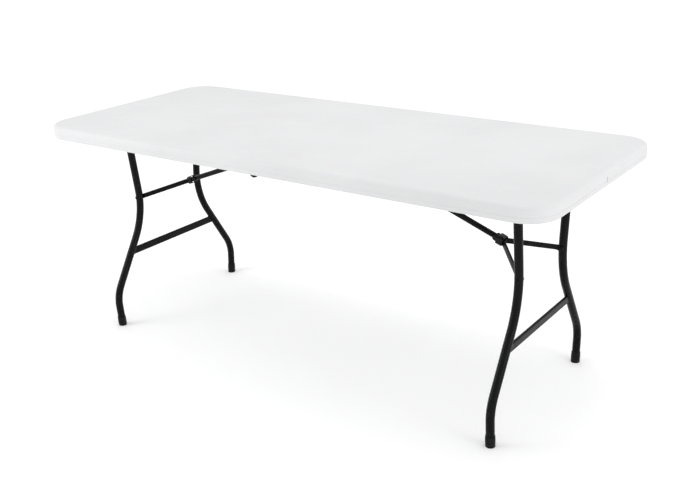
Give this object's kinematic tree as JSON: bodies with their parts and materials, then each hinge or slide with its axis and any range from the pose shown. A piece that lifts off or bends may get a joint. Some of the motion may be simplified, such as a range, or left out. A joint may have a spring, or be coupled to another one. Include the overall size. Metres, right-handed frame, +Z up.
{
  "type": "folding table",
  "caption": "Long rectangular folding table: blow-moulded plastic top on two steel wishbone leg frames that fold flat underneath, each held open by a hinged brace and a sliding lock ring.",
  "frame": {"origin": "on the floor under the middle of the table", "axes": "+X along the table's length, +Y across its width to the back, +Z up"},
  "size_m": [1.829, 0.762, 0.737],
  "materials": {
    "top_plastic": "off-white moulded polyethylene with a fine pebble grain",
    "black_paint": "black powder coat, semi-matt with a fine orange-peel texture",
    "black_plastic": "moulded black plastic, slightly scuffed",
    "zinc_steel": "bright zinc plating",
    "ring_steel": "black dip coat, worn at the inner edges"
  },
  "bodies": {
    "top": {"tabletop": "top_plastic", "centre_tube": "black_paint", "centre_tube_plug_front": "black_plastic", "centre_tube_plug_back": "black_plastic", "centre_saddle_front": "zinc_steel", "centre_saddle_back": "zinc_steel", "centre_saddle_screws": "zinc_steel", "brace_bracket": "black_paint", "right_saddle_front": "zinc_steel", "right_saddle_back": "zinc_steel", "right_saddle_screws": "zinc_steel", "right_link_pin": "zinc_steel", "left_saddle_front": "zinc_steel", "left_saddle_back": "zinc_steel", "left_saddle_screws": "zinc_steel", "left_link_pin": "zinc_steel"},
    "right_leg_frame": {"right_axle": "black_paint", "right_axle_plug_front": "black_plastic", "right_axle_plug_back": "black_plastic", "right_front_leg": "black_paint", "right_back_leg": "black_paint", "right_lower_bar": "black_paint", "right_front_foot": "black_plastic", "right_back_foot": "black_plastic", "right_leg_rivets": "black_paint"},
    "right_link": {"right_upper_link": "black_paint", "right_upper_link_plug": "black_plastic", "right_hinge_rivet": "ring_steel"},
    "right_yoke": {"right_front_yoke_arm": "black_paint", "right_back_yoke_arm": "black_paint", "right_yoke_rivets": "black_paint"},
    "right_ring": {"right_lock_ring": "ring_steel"},
    "left_leg_frame": {"left_axle": "black_paint", "left_axle_plug_front": "black_plastic", "left_axle_plug_back": "black_plastic", "left_front_leg": "black_paint", "left_back_leg": "black_paint", "left_lower_bar": "black_paint", "left_front_foot": "black_plastic", "left_back_foot": "black_plastic", "left_leg_rivets": "black_paint"},
    "left_link": {"left_upper_link": "black_paint", "left_upper_link_plug": "black_plastic", "left_hinge_rivet": "ring_steel"},
    "left_yoke": {"left_front_yoke_arm": "black_paint", "left_back_yoke_arm": "black_paint", "left_yoke_rivets": "black_paint"},
    "left_ring": {"left_lock_ring": "ring_steel"}
  },
  "joints": [
    {"name": "right_leg_fold", "type": "hinge", "parent": "top", "child": "right_leg_frame", "pos_m": [0.741, 0, 0.696], "axis": [0, 1, 0], "range_deg": [0, 90]},
    {"name": "right_link_swing", "type": "hinge", "parent": "top", "child": "right_link", "pos_m": [0.03, 0, 0.707], "axis": [0, -1, 0], "range_deg": [0, 21.68]},
    {"name": "right_yoke_swing", "type": "hinge", "parent": "right_link", "child": "right_yoke", "pos_m": [0.59826, 0, 0.4944], "axis": [0, 1, 0], "range_deg": [0, 172.36]},
    {"name": "right_ring_slide", "type": "slide", "parent": "right_link", "child": "right_ring", "axis": [-0.9366, 0, 0.3504], "range_m": [0, 0.232]},
    {"name": "left_leg_fold", "type": "hinge", "parent": "top", "child": "left_leg_frame", "pos_m": [-0.741, 0, 0.696], "axis": [0, -1, 0], "range_deg": [0, 90]},
    {"name": "left_link_swing", "type": "hinge", "parent": "top", "child": "left_link", "pos_m": [-0.03, 0, 0.707], "axis": [0, 1, 0], "range_deg": [0, 21.68]},
    {"name": "left_yoke_swing", "type": "hinge", "parent": "left_link", "child": "left_yoke", "pos_m": [-0.59826, 0, 0.4944], "axis": [0, -1, 0], "range_deg": [0, 172.36]},
    {"name": "left_ring_slide", "type": "slide", "parent": "left_link", "child": "left_ring", "axis": [0.9366, 0, 0.3504], "range_m": [0, 0.232]}
  ],
  "couplings": [
    {"joint": "right_link_swing", "follows": "right_leg_fold", "ratio": 0.24085},
    {"joint": "right_yoke_swing", "follows": "right_leg_fold", "ratio": 1.9151},
    {"joint": "right_ring_slide", "follows": "right_leg_fold", "m_per_rad": 0.1477},
    {"joint": "left_link_swing", "follows": "left_leg_fold", "ratio": 0.24085},
    {"joint": "left_yoke_swing", "follows": "left_leg_fold", "ratio": 1.9151},
    {"joint": "left_ring_slide", "follows": "left_leg_fold", "m_per_rad": 0.1477}
  ]
}
